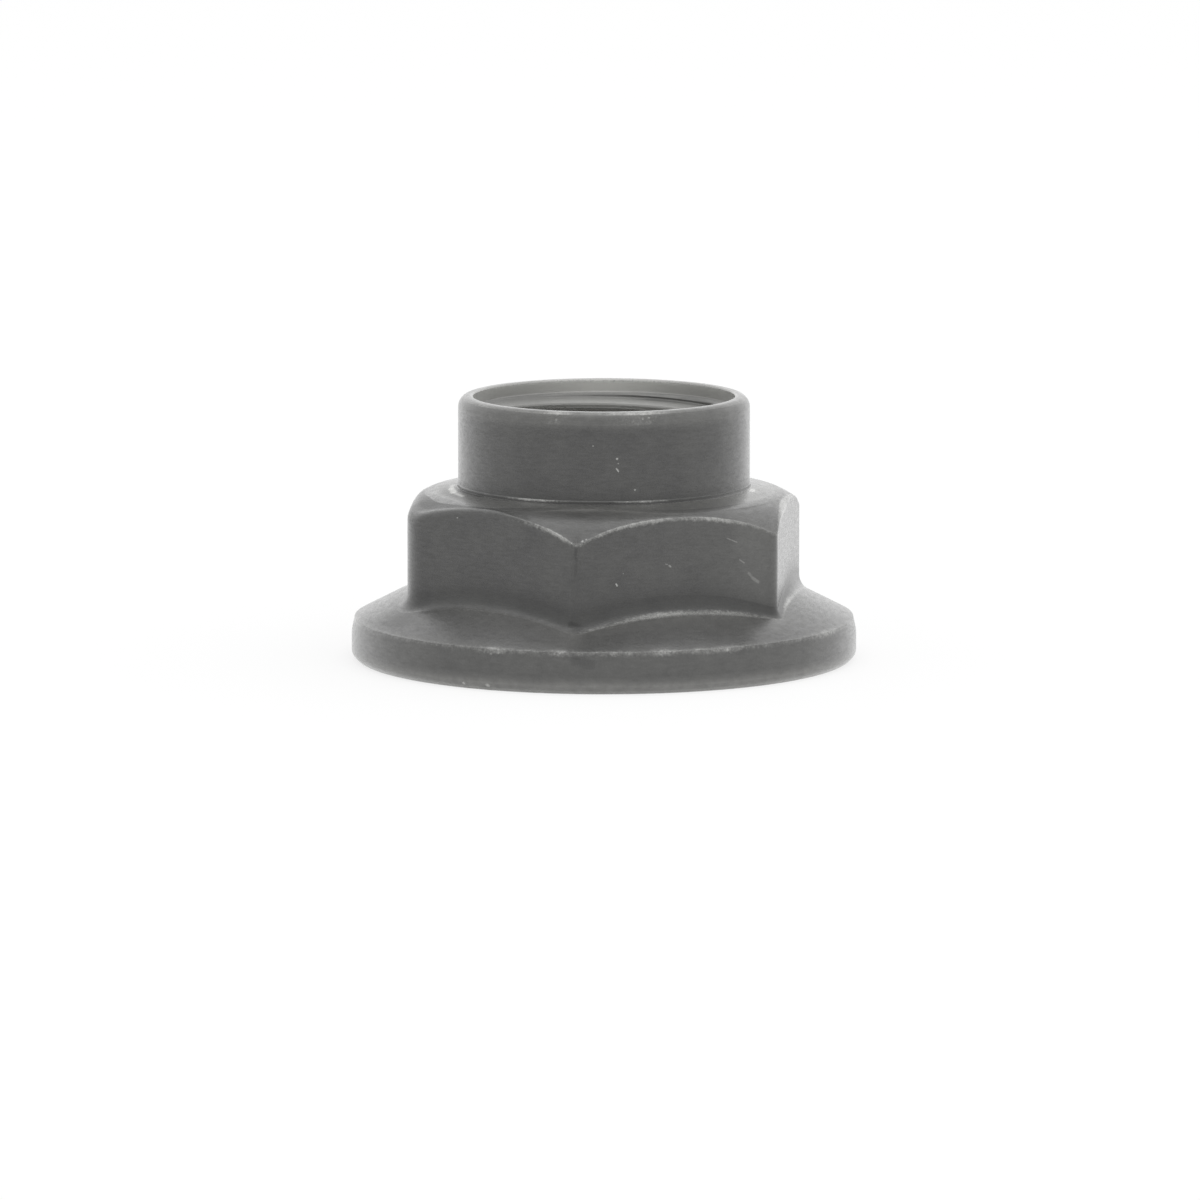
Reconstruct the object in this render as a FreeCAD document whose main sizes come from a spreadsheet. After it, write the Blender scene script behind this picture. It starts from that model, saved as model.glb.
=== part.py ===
"""Flanged hexagon nut with a thin staking collar, forged and turned from one piece of steel.

The thread axis is Z. The bearing face of the flange lies on z = 0 and the collar points up. Two opposite corners
of the hexagon lie on the Y axis, so its flats face +X and -X. All lengths are in millimetres.
"""

import FreeCAD, Part

import math
import os

import Sketcher
from FreeCAD import Placement, Rotation, Vector

# The driving dimensions: name, value, and what it measures.
SIZES = (
    ("thread_diameter", 22.0, "nominal diameter of the metric fine thread"),
    ("thread_pitch", 1.5, "pitch of that thread"),
    ("lead_in_clearance", 0.5, "how far the lead-in at the bearing face opens past the thread"),
    ("lead_in_angle", 30.0, "slope of the lead-in against the bearing face, degrees"),
    ("counterbore_clearance", 0.25, "gap between the thread's nominal radius and the collar's bore"),
    ("counterbore_depth", 1.2, "depth of the plain bore below the collar's rim"),
    ("counterbore_angle", 30.0, "slope of the counterbore's floor, as on a thread flank, degrees"),
    ("collar_wall", 1.3, "wall of the collar that is staked into the axle's groove"),
    ("collar_height", 7.7, "height of the collar above the hexagon's shoulder"),
    ("across_flats", 32.0, "spanner size of the hexagon"),
    ("hexagon_height", 11.42, "from the flange's upper edge to the shoulder"),
    ("hexagon_edge_rounding", 1.1, "rounding of the hexagon's six upright edges"),
    ("crown_inset", 0.45, "how far inside the collar's wall the crown of the shoulder begins"),
    ("crown_drop", 3.0, "how far the crown has fallen at the hexagon's sharp corners"),
    ("flange_reach", 3.275, "how far the flange stands out past the hexagon's sharp corners"),
    ("flange_edge_height", 3.58, "height of the flange's crisp upper edge"),
    ("flange_slope", 27.0, "slope of the flange's upper side, degrees"),
    ("flange_draft_height", 1.2, "height of the top of the flange's side, which leans in"),
    ("flange_draft_inset", 0.25, "how far that part leans in towards the upper edge"),
    ("flange_lower_bevel", 0.5, "bevel of the edge round the bearing face"),
    ("hexagon_root_rounding", 1.2, "fillet where the hexagon grows out of the flange"),
    ("rim_outer_bevel", 0.55, "bevel of the collar's rim outside"),
    ("rim_inner_bevel", 0.15, "broken edge of the collar's rim inside"),
    ("cutter_overrun", 1.0, "how far each turning cut runs past the metal"),
)

# Radii and heights that follow from the driving dimensions.
RADII = {
    "minor": "(Sizes.thread_diameter / 2 - 5 / 16 * sqrt(3) * Sizes.thread_pitch)",
    "lead_in": "(Sizes.thread_diameter / 2 + Sizes.lead_in_clearance)",
    "counterbore": "(Sizes.thread_diameter / 2 + Sizes.counterbore_clearance)",
    "collar": "(Sizes.thread_diameter / 2 + Sizes.counterbore_clearance + Sizes.collar_wall)",
    "corner": "(Sizes.across_flats / sqrt(3))",
    "flange": "(Sizes.across_flats / sqrt(3) + Sizes.flange_reach)",
    "upper_edge": "(Sizes.across_flats / sqrt(3) + Sizes.flange_reach - Sizes.flange_draft_inset)",
}
SHOULDER = "(Sizes.flange_edge_height + Sizes.hexagon_height)"
TOP = "(Sizes.flange_edge_height + Sizes.hexagon_height + Sizes.collar_height)"

TOLERANCE = 1e-4

# The two ways an edge is dressed, and the property that holds the size of each.
FILLET, BEVEL = "PartDesign::Fillet", "PartDesign::Chamfer"
DRESSINGS = {FILLET: "Radius", BEVEL: "Size"}

# How a sketch numbers the points of a line or an arc, and its own two axes.
START, END, CENTRE = range(1, 4)
HORIZONTAL_AXIS, VERTICAL_AXIS = range(-1, -3, -1)
ORIGIN = (HORIZONTAL_AXIS, START)


def make_sheet(document):
    """Write the driving dimensions into a spreadsheet, one alias a row."""
    sheet = document.addObject("Spreadsheet::Sheet", "Sizes")
    for row, (alias, value, meaning) in enumerate(SIZES, start=1):
        sheet.set(f"A{row}", alias)
        sheet.set(f"B{row}", str(value))
        sheet.set(f"C{row}", meaning)
        sheet.setAlias(f"B{row}", alias)
    document.recompute()
    return sheet


def value_of(sheet, expression):
    """Work out an expression of the sheet's aliases as a plain number."""
    result = sheet.evalExpression(expression)
    return float(getattr(result, "Value", result))


def new_sketch(body, name, role):
    """Start a sketch on one of the body's own origin planes."""
    plane = next(item for item in body.Origin.OriginFeatures if item.Role == role)
    sketch = body.newObject("Sketcher::SketchObject", name)
    sketch.AttachmentSupport = [(plane, "")]
    sketch.MapMode = "FlatFace"
    return sketch


def draw_outline(sketch, corners):
    """Draw a closed outline of straight lines through the corners, joined end to end."""
    count = len(corners)
    for index, corner in enumerate(corners):
        following = corners[(index + 1) % count]
        sketch.addGeometry(Part.LineSegment(Vector(*corner, 0), Vector(*following, 0)), False)
    for index in range(count):
        join(sketch, index, END, (index + 1) % count, START)


def join(sketch, first, first_point, second, second_point):
    """Make two points of a sketch coincide."""
    sketch.addConstraint(Sketcher.Constraint("Coincident", first, first_point, second, second_point))


def square_up(sketch, horizontal, vertical):
    """Keep the listed lines horizontal and vertical."""
    for line in horizontal:
        sketch.addConstraint(Sketcher.Constraint("Horizontal", line))
    for line in vertical:
        sketch.addConstraint(Sketcher.Constraint("Vertical", line))


def measure(sketch, kind, name, expression, first, second, sheet):
    """Add a named distance between two points of a sketch and bind it to the sheet."""
    size = value_of(sheet, expression)
    index = sketch.addConstraint(Sketcher.Constraint(kind, *first, *second, size))
    sketch.renameConstraint(index, name)
    sketch.setExpression(f"Constraints.{name}", expression)


def edges_of(feature, wanted):
    """Name the edges of a feature's shape that the test picks."""
    names = [f"Edge{index}" for index, edge in enumerate(feature.Shape.Edges, start=1) if wanted(edge)]
    if not names:
        raise RuntimeError(f"{feature.Label} has none of the edges looked for")
    return names


def points_along(edge):
    """Give the start, the middle and the end of an edge."""
    first, last = edge.ParameterRange
    return [edge.valueAt(place) for place in (first, (first + last) / 2, last)]


def is_upright(edge):
    """Tell whether an edge is a straight line along Z."""
    foot, middle, head = points_along(edge)
    return all(math.hypot(point.x - foot.x, point.y - foot.y) < TOLERANCE for point in (middle, head))


def ring_at(radius, height):
    """Make a test for the edges round the thread axis at one radius and height."""
    def wanted(edge):
        return all(
            abs(math.hypot(point.x, point.y) - radius) < TOLERANCE and abs(point.z - height) < TOLERANCE
            for point in points_along(edge)
        )
    return wanted


def dress_edges(body, kind, name, size, wanted):
    """Round or bevel the edges that the test picks by the size that an expression gives."""
    base = body.Tip
    dressing = body.newObject(kind, name)
    dressing.Base = (base, edges_of(base, wanted))
    dressing.setExpression(DRESSINGS[kind], size)
    body.Document.recompute()
    return dressing


def turn(body, kind, name, sketch):
    """Revolve a sketch a full turn about the thread axis, adding or cutting metal."""
    before = body.Shape.Volume
    feature = body.newObject(kind, name)
    feature.Profile = sketch
    feature.ReferenceAxis = (sketch, ["V_Axis"])
    feature.Angle = 360
    sketch.Visibility = False
    body.Document.recompute()
    gained = feature.Shape.Volume - before
    if (gained > 0) != (kind == "PartDesign::Revolution"):
        raise RuntimeError(f"{name} changed the volume by {gained:.1f} cubic millimetres, the wrong way")
    return feature


def draw_hexagon(body, sheet):
    """Draw the spanner hexagon at the height of the flange's edge, with two corners on the Y axis."""
    radius = value_of(sheet, RADII["corner"])
    sketch = new_sketch(body, "hexagon_outline", "XY_Plane")
    sketch.setExpression("AttachmentOffset.Base.z", "Sizes.flange_edge_height")
    angles = [math.radians(30 + 60 * index) for index in range(6)]
    draw_outline(sketch, [(radius * math.cos(angle), radius * math.sin(angle)) for angle in angles])
    circle = sketch.addGeometry(Part.Circle(Vector(), Vector(0, 0, 1), radius), True)
    join(sketch, circle, CENTRE, *ORIGIN)
    for side in range(6):
        sketch.addConstraint(Sketcher.Constraint("PointOnObject", side, START, circle))
    for side in range(1, 6):
        sketch.addConstraint(Sketcher.Constraint("Equal", 0, side))
    square_up(sketch, horizontal=[], vertical=[2])
    measure(sketch, "DistanceX", "across_flats", "Sizes.across_flats", (2, START), (5, START), sheet)
    return sketch


def draw_crown_cut(body, sheet):
    """Draw what turning takes off above the shoulder: a level face that falls away in one arc."""
    start = value_of(sheet, RADII["collar"] + " - Sizes.crown_inset")
    reach = value_of(sheet, RADII["corner"])
    shoulder = value_of(sheet, SHOULDER)
    drop = value_of(sheet, "Sizes.crown_drop")
    overrun = value_of(sheet, "Sizes.cutter_overrun")
    radius = ((reach - start) ** 2 + drop ** 2) / (2 * drop)
    centre = Vector(start, shoulder - radius, 0)
    finish = math.atan2(shoulder - drop - centre.y, reach - start)
    top = shoulder + 2 * overrun

    sketch = new_sketch(body, "crown_cut", "XZ_Plane")
    sketch.addGeometry(Part.LineSegment(Vector(0, shoulder, 0), Vector(start, shoulder, 0)), False)
    arc = Part.ArcOfCircle(Part.Circle(centre, Vector(0, 0, 1), radius), finish, math.pi / 2)
    sketch.addGeometry(arc, False)
    sketch.addGeometry(Part.LineSegment(Vector(reach, shoulder - drop, 0), Vector(reach, top, 0)), False)
    sketch.addGeometry(Part.LineSegment(Vector(reach, top, 0), Vector(0, top, 0)), False)
    sketch.addGeometry(Part.LineSegment(Vector(0, top, 0), Vector(0, shoulder, 0)), False)
    join(sketch, 0, END, 1, END)
    join(sketch, 1, START, 2, START)
    join(sketch, 2, END, 3, START)
    join(sketch, 3, END, 4, START)
    join(sketch, 4, END, 0, START)
    square_up(sketch, horizontal=[0, 3], vertical=[2, 4])
    sketch.addConstraint(Sketcher.Constraint("PointOnObject", 0, START, VERTICAL_AXIS))
    sketch.addConstraint(Sketcher.Constraint("Vertical", 1, CENTRE, 1, END))
    crown_start = RADII["collar"] + " - Sizes.crown_inset"
    measure(sketch, "DistanceX", "crown_start", crown_start, ORIGIN, (0, END), sheet)
    measure(sketch, "DistanceX", "corner_radius", RADII["corner"], ORIGIN, (2, START), sheet)
    measure(sketch, "DistanceY", "shoulder_height", SHOULDER, ORIGIN, (0, START), sheet)
    measure(sketch, "DistanceY", "crown_drop", "Sizes.crown_drop", (2, START), (0, END), sheet)
    measure(sketch, "DistanceY", "cut_height", "2 * Sizes.cutter_overrun", (0, END), (3, START), sheet)
    return sketch


def draw_round_parts(body, sheet):
    """Draw the half section of flange and collar: side, crisp edge, sloping upper side, collar wall."""
    flange = value_of(sheet, RADII["flange"])
    upper_edge = value_of(sheet, RADII["upper_edge"])
    collar = value_of(sheet, RADII["collar"])
    edge = value_of(sheet, "Sizes.flange_edge_height")
    draft = value_of(sheet, "Sizes.flange_draft_height")
    top = value_of(sheet, TOP)
    cone_rise = f"({RADII['upper_edge']} - {RADII['collar']}) * tan(Sizes.flange_slope * 1 deg)"

    sketch = new_sketch(body, "round_parts", "XZ_Plane")
    draw_outline(sketch, [
        (0, 0),
        (flange, 0),
        (flange, edge - draft),
        (upper_edge, edge),
        (collar, edge + value_of(sheet, cone_rise)),
        (collar, top),
        (0, top),
    ])
    join(sketch, 0, START, *ORIGIN)
    square_up(sketch, horizontal=[0, 5], vertical=[1, 4, 6])
    measure(sketch, "DistanceX", "flange_radius", RADII["flange"], ORIGIN, (0, END), sheet)
    measure(sketch, "DistanceX", "edge_radius", RADII["upper_edge"], ORIGIN, (2, END), sheet)
    measure(sketch, "DistanceX", "collar_radius", RADII["collar"], ORIGIN, (4, END), sheet)
    measure(sketch, "DistanceY", "edge_height", "Sizes.flange_edge_height", ORIGIN, (2, END), sheet)
    measure(sketch, "DistanceY", "draft_height", "Sizes.flange_draft_height", (2, START), (2, END), sheet)
    measure(sketch, "DistanceY", "cone_rise", cone_rise, (3, START), (3, END), sheet)
    measure(sketch, "DistanceY", "overall_height", TOP, (6, END), (6, START), sheet)
    return sketch


def draw_bore(body, sheet):
    """Draw what boring takes out: lead-in, hole at the thread's crests, sloping step and plain counterbore."""
    minor = value_of(sheet, RADII["minor"])
    lead_in = value_of(sheet, RADII["lead_in"])
    counterbore = value_of(sheet, RADII["counterbore"])
    overrun = value_of(sheet, "Sizes.cutter_overrun")
    top = value_of(sheet, TOP)
    floor = top - value_of(sheet, "Sizes.counterbore_depth")
    lead_in_rise = f"({RADII['lead_in']} - {RADII['minor']}) * tan(Sizes.lead_in_angle * 1 deg)"
    step_rise = f"({RADII['counterbore']} - {RADII['minor']}) * tan(Sizes.counterbore_angle * 1 deg)"

    sketch = new_sketch(body, "bore_section", "XZ_Plane")
    draw_outline(sketch, [
        (0, -overrun),
        (lead_in, -overrun),
        (lead_in, 0),
        (minor, value_of(sheet, lead_in_rise)),
        (minor, floor - value_of(sheet, step_rise)),
        (counterbore, floor),
        (counterbore, top + overrun),
        (0, top + overrun),
    ])
    square_up(sketch, horizontal=[0, 6], vertical=[1, 3, 5, 7])
    sketch.addConstraint(Sketcher.Constraint("PointOnObject", 0, START, VERTICAL_AXIS))
    measure(sketch, "DistanceY", "below_face", "Sizes.cutter_overrun", (0, START), ORIGIN, sheet)
    measure(sketch, "DistanceX", "lead_in_radius", RADII["lead_in"], ORIGIN, (0, END), sheet)
    measure(sketch, "DistanceY", "lead_in_start", "Sizes.cutter_overrun", (1, START), (1, END), sheet)
    measure(sketch, "DistanceX", "minor_radius", RADII["minor"], ORIGIN, (3, START), sheet)
    measure(sketch, "DistanceY", "lead_in_rise", lead_in_rise, (2, START), (2, END), sheet)
    measure(sketch, "DistanceX", "counterbore_radius", RADII["counterbore"], ORIGIN, (5, START), sheet)
    measure(sketch, "DistanceY", "step_rise", step_rise, (4, START), (4, END), sheet)
    above_floor = "Sizes.counterbore_depth + Sizes.cutter_overrun"
    measure(sketch, "DistanceY", "above_floor", above_floor, (5, START), (5, END), sheet)
    bore_height = f"{TOP} + 2 * Sizes.cutter_overrun"
    measure(sketch, "DistanceY", "bore_height", bore_height, (7, END), (7, START), sheet)
    return sketch


def make_nut(document, sheet):
    """Build the nut: hexagon, crowned shoulder, flange and collar, dressed edges, then the bore."""
    body = document.addObject("PartDesign::Body", "flange_nut")
    body.Label = "flange_nut"

    outline = draw_hexagon(body, sheet)
    hexagon = body.newObject("PartDesign::Pad", "hexagon")
    hexagon.Profile = outline
    hexagon.setExpression("Length", "Sizes.hexagon_height + Sizes.cutter_overrun")
    outline.Visibility = False
    document.recompute()
    dress_edges(body, FILLET, "hexagon_edges", "Sizes.hexagon_edge_rounding", is_upright)

    turn(body, "PartDesign::Groove", "crowned_shoulder", draw_crown_cut(body, sheet))
    turn(body, "PartDesign::Revolution", "flange_and_collar", draw_round_parts(body, sheet))

    flange = value_of(sheet, RADII["flange"])
    collar = value_of(sheet, RADII["collar"])
    counterbore = value_of(sheet, RADII["counterbore"])
    edge = value_of(sheet, "Sizes.flange_edge_height")
    top = value_of(sheet, TOP)
    crown_foot = value_of(sheet, SHOULDER + " - Sizes.crown_drop")

    def is_hexagon_root(item):
        low_enough = all(edge + TOLERANCE < point.z < crown_foot for point in points_along(item))
        return low_enough and not is_upright(item)

    dress_edges(body, FILLET, "hexagon_root", "Sizes.hexagon_root_rounding", is_hexagon_root)
    dress_edges(body, BEVEL, "flange_lower_edge", "Sizes.flange_lower_bevel", ring_at(flange, 0))
    dress_edges(body, BEVEL, "rim_outside", "Sizes.rim_outer_bevel", ring_at(collar, top))

    turn(body, "PartDesign::Groove", "bore", draw_bore(body, sheet))
    dress_edges(body, BEVEL, "rim_inside", "Sizes.rim_inner_bevel", ring_at(counterbore, top))
    body.Placement = Placement(Vector(0, 0, 0), Rotation())
    document.recompute()
    return body


def check(document, bodies):
    """Stop if any object failed, or if a body is not one valid closed solid."""
    for item in document.Objects:
        if "Invalid" in item.State or "Error" in item.State:
            raise RuntimeError(f"{item.Label} failed: {item.State}")
    for body in bodies:
        shape = body.Shape
        if shape.isNull() or not shape.isValid():
            raise RuntimeError(f"{body.Label} has no valid shape")
        if len(shape.Solids) != 1:
            raise RuntimeError(f"{body.Label} has {len(shape.Solids)} solids, not one")


def main():
    """Build the document and write each piece as a STEP file."""
    document = FreeCAD.newDocument("flanged_nut")
    sheet = make_sheet(document)
    bodies = [make_nut(document, sheet)]
    check(document, bodies)
    os.makedirs("parts", exist_ok=True)
    for body in bodies:
        shape = body.Shape
        shape.exportStep(os.path.join("parts", body.Label + ".step"))
        box = shape.BoundBox
        print(
            f"{body.Label}: {box.XLength:.2f} x {box.YLength:.2f} x {box.ZLength:.2f} mm,"
            f" {shape.Volume:.0f} mm3, {len(shape.Faces)} faces"
        )


main()
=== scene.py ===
"""Looks of the flanged hexagon nut: dressed surface, cut thread, phosphated finish and a plain studio.

The nut stands on its bearing face at z = 0 with the thread axis on Z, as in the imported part. Lengths are
in millimetres and become metres where the mesh is made.
"""

from __future__ import annotations

import logging
import math
from dataclasses import dataclass
from enum import Enum

import bpy
import numpy as np
from mathutils import Euler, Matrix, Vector, noise

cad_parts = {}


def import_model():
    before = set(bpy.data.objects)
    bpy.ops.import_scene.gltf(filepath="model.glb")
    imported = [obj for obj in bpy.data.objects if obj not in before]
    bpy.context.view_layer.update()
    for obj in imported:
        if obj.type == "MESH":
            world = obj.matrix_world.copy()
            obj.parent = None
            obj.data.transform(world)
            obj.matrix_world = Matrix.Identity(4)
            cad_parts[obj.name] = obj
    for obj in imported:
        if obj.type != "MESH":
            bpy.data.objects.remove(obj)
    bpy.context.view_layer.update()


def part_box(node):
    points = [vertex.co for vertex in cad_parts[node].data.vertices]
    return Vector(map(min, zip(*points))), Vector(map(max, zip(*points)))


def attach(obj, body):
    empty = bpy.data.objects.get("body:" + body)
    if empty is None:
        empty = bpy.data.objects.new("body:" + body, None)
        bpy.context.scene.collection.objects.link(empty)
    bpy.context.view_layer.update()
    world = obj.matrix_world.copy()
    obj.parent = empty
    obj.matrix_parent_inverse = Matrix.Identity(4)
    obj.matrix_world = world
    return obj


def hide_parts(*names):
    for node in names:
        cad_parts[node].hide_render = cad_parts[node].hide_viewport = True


LOG = logging.getLogger("nut")
MM = 0.001
NODE = "flange_nut"
PIECE = "dressed_nut"
SLOT = "phosphated_steel"
# Direction in which the thread starts, in degrees from the first column.
THREAD_START = 40.0
# Vertex masks: wear with the painted glint on the root's lip, painted shade, the bore's tone and painted
# fill light.
WEAR_AND_GLINT, PAINTED_SHADE, BORE, PAINTED_FILL = "wear_and_glint", "painted_shade", "bore", "painted_fill"
WHITE = (1.0, 1.0, 1.0, 1.0)


def put(name: str, data: bpy.types.ID) -> bpy.types.Object:
    """Put a new object with a mesh, lamp or camera into the scene."""
    made = bpy.data.objects.new(name, data)
    bpy.context.scene.collection.objects.link(made)
    return made


class Side(Enum):
    """Which way the metal bends at a corner of the half section."""

    CONVEX = 1.0
    HOLLOW = 0.0


@dataclass(frozen=True)
class NutSizes:
    """Lengths of the nut in millimetres and slopes in degrees.

    The flange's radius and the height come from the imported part, the rest are the drawing's own sizes.
    """

    flange_radius: float
    height: float
    thread_diameter: float = 22.0
    thread_pitch: float = 1.5
    lead_in_clearance: float = 0.5
    lead_in_angle: float = 30.0
    counterbore_clearance: float = 0.25
    counterbore_depth: float = 1.2
    counterbore_angle: float = 30.0
    collar_wall: float = 1.3
    collar_height: float = 7.7
    across_flats: float = 32.0
    corner_roundings: tuple[float, ...] = (1.1, 1.4, 1.2, 3.4, 1.1, 1.1)
    crown_inset: float = 0.45
    crown_drop: float = 3.0
    shoulder_drop: float = 0.1
    ledge: float = 0.07
    ledge_height: float = 0.24
    flange_edge_height: float = 3.58
    flange_slope: float = 27.0
    flange_draft_height: float = 1.2
    flange_draft_inset: float = 0.25
    flange_lower_bevel: float = 0.5
    rim_outer_bevel: float = 0.55

    @classmethod
    def from_frame(cls) -> "NutSizes":
        """Take the flange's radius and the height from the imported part's box."""
        low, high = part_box(NODE)
        return cls(flange_radius=(high.x - low.x) / 2 / MM, height=high.z / MM)

    @property
    def major_radius(self) -> float:
        """Radius at the roots of the nut's thread."""
        return self.thread_diameter / 2

    @property
    def minor_radius(self) -> float:
        """Radius at the crests of the nut's thread."""
        return self.major_radius - 5 / 16 * math.sqrt(3) * self.thread_pitch

    @property
    def lead_in_radius(self) -> float:
        """Radius of the lead-in at the bearing face."""
        return self.major_radius + self.lead_in_clearance

    @property
    def counterbore_radius(self) -> float:
        """Radius of the plain bore inside the collar's rim."""
        return self.major_radius + self.counterbore_clearance

    @property
    def counterbore_floor(self) -> float:
        """Height at which the plain bore meets its sloping floor."""
        return self.height - self.counterbore_depth

    @property
    def collar_radius(self) -> float:
        """Outer radius of the collar."""
        return self.counterbore_radius + self.collar_wall

    @property
    def corner_radius(self) -> float:
        """Radius of the hexagon's corners before they are rounded."""
        return self.across_flats / math.sqrt(3)

    @property
    def shoulder(self) -> float:
        """Height of the shoulder at the collar."""
        return self.height - self.collar_height

    def cone_height(self, radius: float) -> float:
        """Height of the flange's sloping upper side at a radius."""
        edge = self.flange_radius - self.flange_draft_inset
        return self.flange_edge_height + (edge - radius) * math.tan(math.radians(self.flange_slope))

    def crown_height(self, radius: float) -> float:
        """Height of the shoulder, which falls away in one arc towards the hexagon's corners.

        Args:
            radius: distance from the thread axis.

        Returns:
            The height of the crown there.
        """
        start = self.collar_radius - self.crown_inset
        reach = self.corner_radius - start
        arc = (reach ** 2 + self.crown_drop ** 2) / (2 * self.crown_drop)
        return self.shoulder - arc + math.sqrt(arc ** 2 - max(radius - start, 0.0) ** 2)

    @property
    def collar_foot(self) -> float:
        """Height at which the turned land round the collar meets it."""
        return self.shoulder - self.shoulder_drop


@dataclass(frozen=True)
class Hexagon:
    """The spanner hexagon seen from above, with rounded corners.

    Attributes:
        sizes: the nut's sizes.
        flat_steps: how many mesh columns a flat gets.
        corner_steps: how many mesh columns a rounded corner gets.
    """

    sizes: NutSizes
    flat_steps: int = 42
    corner_steps: int = 8

    def sector_of(self, angle: float) -> int:
        """Number of the corner nearest to a direction, 0 at 30 degrees."""
        return math.floor(angle / (math.pi / 3)) % 6

    def corner_centre(self, rounding: float) -> float:
        """Distance of a rounding's centre from the thread axis."""
        return (self.sizes.across_flats / 2 - rounding) / math.cos(math.pi / 6)

    def corner_half_angle(self, rounding: float) -> float:
        """Half the angle in radians that a rounded corner takes up round the axis."""
        across = rounding * math.sin(math.pi / 6)
        along = self.corner_centre(rounding) + rounding * math.cos(math.pi / 6)
        return math.atan2(across, along)

    def radius_at(self, angle: float) -> float:
        """Distance from the axis to the hexagon's side.

        Args:
            angle: direction round the axis, from +X.

        Returns:
            The distance in millimetres.
        """
        sector = self.sector_of(angle)
        rounding = self.sizes.corner_roundings[sector]
        offset = abs(angle % (2 * math.pi) - math.pi / 6 - sector * math.pi / 3)
        if offset > self.corner_half_angle(rounding):
            return self.sizes.across_flats / 2 / math.cos(math.pi / 6 - offset)
        centre = self.corner_centre(rounding)
        return centre * math.cos(offset) + math.sqrt(rounding ** 2 - (centre * math.sin(offset)) ** 2)

    def columns(self) -> list[float]:
        """Directions of the mesh columns, closer together at the rounded corners.

        Returns:
            The angles of one full turn, rising from the first corner.
        """
        halves = [self.corner_half_angle(rounding) for rounding in self.sizes.corner_roundings]
        angles = []
        for sector, half in enumerate(halves):
            corner = math.pi / 6 + sector * math.pi / 3
            flat = math.pi / 3 - half - halves[(sector + 1) % 6]
            for first, width, steps in (
                (corner - half, 2 * half, self.corner_steps),
                (corner + half, flat, self.flat_steps),
            ):
                angles += [first + width * step / steps for step in range(steps)]
        return angles


@dataclass(frozen=True)
class Spot:
    """A point of the nut's surface with what the finish needs to know there, painted shade and painted fill
    light among it.
    """

    radius: float
    height: float
    wear_and_glint: float = 0.0
    painted_shade: float = 0.0
    bore: float = 0.0
    painted_fill: float = 0.0


@dataclass(frozen=True)
class Corner:
    """A corner of the half section.

    Attributes:
        radius: distance from the axis.
        height: height above the bearing face.
        rounding: radius of the corner's rounding.
        steps: mesh steps over the rounding.
        run: mesh steps on the run that follows.
        side: whether the corner stands out or is hollow.
        amount: how worn a standing corner is, or how much painted shade darkens a hollow one, from 0 to 1.
        into: direction in which the section arrives, where it isn't a straight run.
        out: direction in which the section leaves, where it isn't a straight run.
        crown: whether the run that follows is the crown's arc.
        reach: how far the painted shade of a hollow corner spreads inwards.
        lip_glint: how strong the painted glint on the outer end of a hollow corner is, drawn as bare metal.
        spread: how far the wear of a standing corner spreads.
        bore: how bright the turned wall after the last corner is, partly the machined metal's tone and
            partly painted reflection that changes round the axis.
        painted_fill: how much painted fill light, a pale tone, lightens the corner, in a hollow corner on
            its outer side only.
        fill_reach: how far that painted fill light spreads.
        shade: how much painted shade darkens the run after a standing corner.
    """

    radius: float
    height: float
    rounding: float
    steps: int
    run: int
    side: Side = Side.CONVEX
    amount: float = 0.0
    into: Vector | None = None
    out: Vector | None = None
    crown: bool = False
    reach: float = 0.9
    lip_glint: float = 0.0
    spread: float = 0.16
    bore: float = 0.0
    painted_fill: float = 0.0
    fill_reach: float = 1.0
    shade: float = 0.0


def around_axis(azimuth: float, radius: float, height: float) -> Vector:
    """Turn a direction in degrees from +X, a distance from the axis and a height into a place."""
    angle = math.radians(azimuth)
    return Vector((radius * math.cos(angle), radius * math.sin(angle), height))


class Edge:
    """An amount that differs from its plain value on some stretches round the axis."""

    def __init__(self, plain: float, *patches: tuple[float, float, float]) -> None:
        """Keep the plain amount and the patches: azimuth and reach in degrees, and what each adds."""
        self.plain = plain
        self.patches = patches

    def at(self, angle: float) -> float:
        """The plain amount with every patch added, in a direction in radians."""
        amount = 0.0
        for azimuth, reach, added in self.patches:
            away = (math.degrees(angle) - azimuth + 180) % 360 - 180
            amount += added * math.exp(-((away / reach) ** 2))
        return self.plain + amount


@dataclass(frozen=True)
class Nick:
    """A small dent, placed by its direction, radius and height.

    Attributes:
        azimuth: direction round the axis in degrees, from +X.
        radius: distance from the axis in millimetres.
        height: height in millimetres.
        width: how wide the dent is.
        depth: how deep it goes.
    """

    azimuth: float
    radius: float
    height: float
    width: float
    depth: float

    def depths(self, points: np.ndarray) -> np.ndarray:
        """Depth of the dent at each row of points, in millimetres."""
        centre = np.array(around_axis(self.azimuth, self.radius, self.height))
        away = np.linalg.norm(points - centre, axis=1)
        return self.depth * np.exp(-((away / self.width) ** 2))


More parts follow.
